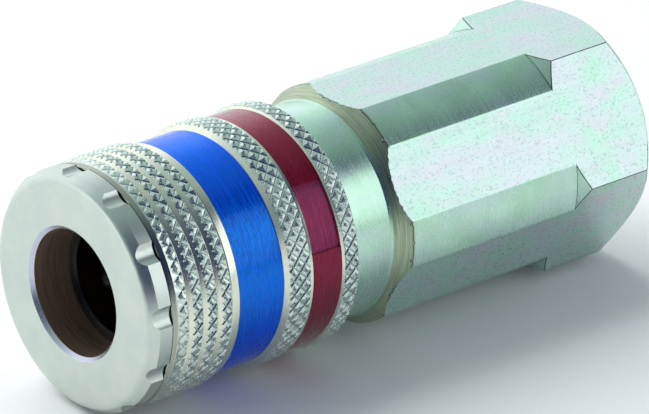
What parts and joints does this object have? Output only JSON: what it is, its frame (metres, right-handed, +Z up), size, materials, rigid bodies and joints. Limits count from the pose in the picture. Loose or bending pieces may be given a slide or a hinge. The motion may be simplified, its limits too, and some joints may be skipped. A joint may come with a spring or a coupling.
{
  "type": "safety quick coupling",
  "caption": "Vented safety quick coupling with a ball lock, pull-back knurled sleeve, two colour rings and a female-threaded hexagon body.",
  "frame": {"origin": "centre of the threaded end face, on the coupling's axis", "axes": "+X along the axis, out of the threaded end; +Z up with the coupling lying on a hexagon flat"},
  "size_m": [0.0665, 0.0278, 0.0258],
  "materials": {
    "zinc_steel": "zinc plated",
    "nickel_steel": "bright plated, knurled",
    "blue_aluminium": "blue anodised, brushed",
    "red_aluminium": "red anodised, brushed",
    "black_rubber": "matt",
    "brass": "turned",
    "spring_steel": "drawn wire",
    "ball_steel": "polished"
  },
  "bodies": {
    "coupling_body": {"connection_body": "zinc_steel", "front_body": "zinc_steel", "front_ring": "nickel_steel", "throat_seal": "black_rubber", "nipple_seal": "black_rubber", "body_seal": "black_rubber", "valve_guide": "brass", "sleeve_spring": "spring_steel", "valve_spring": "spring_steel"},
    "grip_sleeve": {"knurled_sleeve": "nickel_steel", "blue_ring": "blue_aluminium", "red_ring": "red_aluminium"},
    "valve": {"valve_poppet": "brass", "valve_seal": "black_rubber"},
    "ball_1": {"locking_ball_1": "ball_steel"},
    "ball_2": {"locking_ball_2": "ball_steel"},
    "ball_3": {"locking_ball_3": "ball_steel"},
    "ball_4": {"locking_ball_4": "ball_steel"},
    "ball_5": {"locking_ball_5": "ball_steel"},
    "ball_6": {"locking_ball_6": "ball_steel"}
  },
  "joints": [
    {"name": "sleeve_slide", "type": "slide", "parent": "coupling_body", "child": "grip_sleeve", "axis": [1, 0, 0], "range_m": [0, 0.0045], "stiffness_N_per_m": 1500, "springref_m": -0.005, "deforming": ["sleeve_spring"]},
    {"name": "valve_slide", "type": "slide", "parent": "coupling_body", "child": "valve", "axis": [1, 0, 0], "range_m": [0, 0.004], "stiffness_N_per_m": 800, "springref_m": -0.005, "deforming": ["valve_spring"]},
    {"name": "ball_1_slide", "type": "slide", "parent": "coupling_body", "child": "ball_1", "axis": [0, 0, 1], "range_m": [0, 0.00125]},
    {"name": "ball_2_slide", "type": "slide", "parent": "coupling_body", "child": "ball_2", "axis": [0, -0.866, 0.5], "range_m": [0, 0.00125]},
    {"name": "ball_3_slide", "type": "slide", "parent": "coupling_body", "child": "ball_3", "axis": [0, -0.866, -0.5], "range_m": [0, 0.00125]},
    {"name": "ball_4_slide", "type": "slide", "parent": "coupling_body", "child": "ball_4", "axis": [0, 0, -1], "range_m": [0, 0.00125]},
    {"name": "ball_5_slide", "type": "slide", "parent": "coupling_body", "child": "ball_5", "axis": [0, 0.866, -0.5], "range_m": [0, 0.00125]},
    {"name": "ball_6_slide", "type": "slide", "parent": "coupling_body", "child": "ball_6", "axis": [0, 0.866, 0.5], "range_m": [0, 0.00125]}
  ],
  "couplings": [
    {"joint": "ball_1_slide", "follows": "sleeve_slide", "ratio": 0.26667},
    {"joint": "ball_2_slide", "follows": "sleeve_slide", "ratio": 0.26667},
    {"joint": "ball_3_slide", "follows": "sleeve_slide", "ratio": 0.26667},
    {"joint": "ball_4_slide", "follows": "sleeve_slide", "ratio": 0.26667},
    {"joint": "ball_5_slide", "follows": "sleeve_slide", "ratio": 0.26667},
    {"joint": "ball_6_slide", "follows": "sleeve_slide", "ratio": 0.26667}
  ]
}
